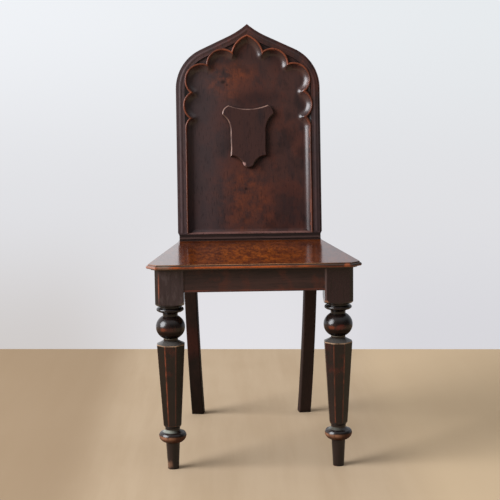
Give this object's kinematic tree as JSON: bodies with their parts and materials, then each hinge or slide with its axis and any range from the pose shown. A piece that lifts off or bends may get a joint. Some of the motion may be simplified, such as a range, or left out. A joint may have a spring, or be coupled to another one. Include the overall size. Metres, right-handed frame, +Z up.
{
  "type": "hall chair",
  "caption": "Hall chair with a plank seat, turned and faceted front legs, swept rear legs and a leaning pointed back board carved with a foiled panel and a blank shield.",
  "frame": {"origin": "on the floor, under the middle of the chair's overall box", "axes": "+X to the right as seen from the front, -Y to the front, +Z up"},
  "size_m": [0.437, 0.4888, 0.9238],
  "materials": {
    "legs": "stained and french polished, worn to orange on the edges",
    "rails": "stained, dull polish",
    "seat": "french polished, glossy, mottled",
    "back": "dark stained, french polished",
    "raw": "unfinished, darkened",
    "screws": "dull, aged"
  },
  "bodies": {
    "root": {"seat_board": "seat", "front_rail": "rails", "side_rail_left": "rails", "side_rail_right": "rails", "rear_rail": "rails", "front_leg_left": "legs", "front_leg_right": "legs", "rear_leg_left": "legs", "rear_leg_right": "legs", "back_board": "back", "base_moulding": "back", "shield": "back", "corner_brace_front_left": "raw", "corner_brace_front_right": "raw", "corner_brace_rear_left": "raw", "corner_brace_rear_right": "raw", "rubbed_blocks": "raw", "seat_screws": "screws", "back_screws": "screws"}
  },
  "joints": []
}
